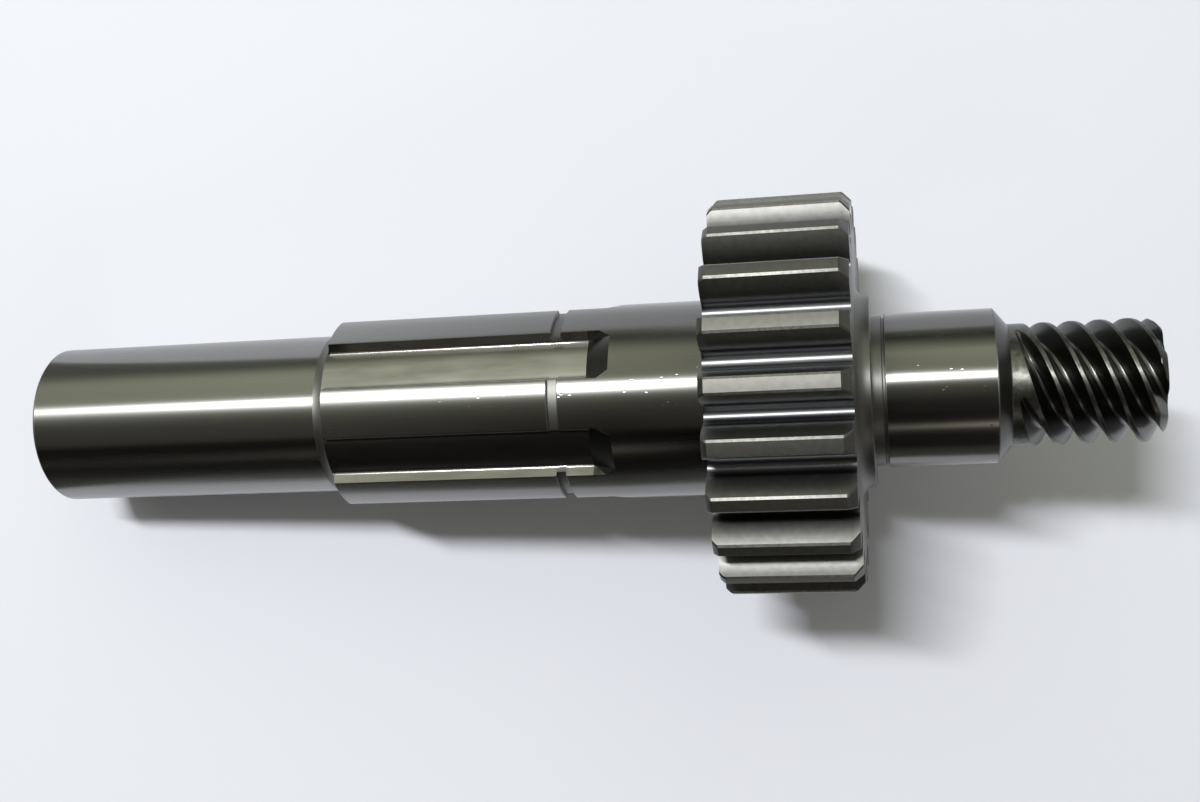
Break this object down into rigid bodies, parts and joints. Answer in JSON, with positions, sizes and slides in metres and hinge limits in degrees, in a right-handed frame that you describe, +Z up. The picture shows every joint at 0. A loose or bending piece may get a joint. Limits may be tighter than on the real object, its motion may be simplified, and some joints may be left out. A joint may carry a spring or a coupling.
{
  "type": "main shaft",
  "caption": "One-piece steel main shaft: ground journals at both ends, a straight-sided spline, an integral spur gear and a multi-start worm on the tail.",
  "frame": {"origin": "on the table, below the middle of the shaft's footprint", "axes": "+X along the shaft's footprint from the long journal to the worm, +Z up; the shaft lies tilted because it rests on its gear and on the rim of the long journal"},
  "size_m": [0.1512, 0.052, 0.0536],
  "materials": {
    "steel": "ground journals and seat, hobbed gear, spline and worm, lightly oiled"
  },
  "bodies": {
    "root": {"main_shaft": "steel"}
  },
  "joints": []
}
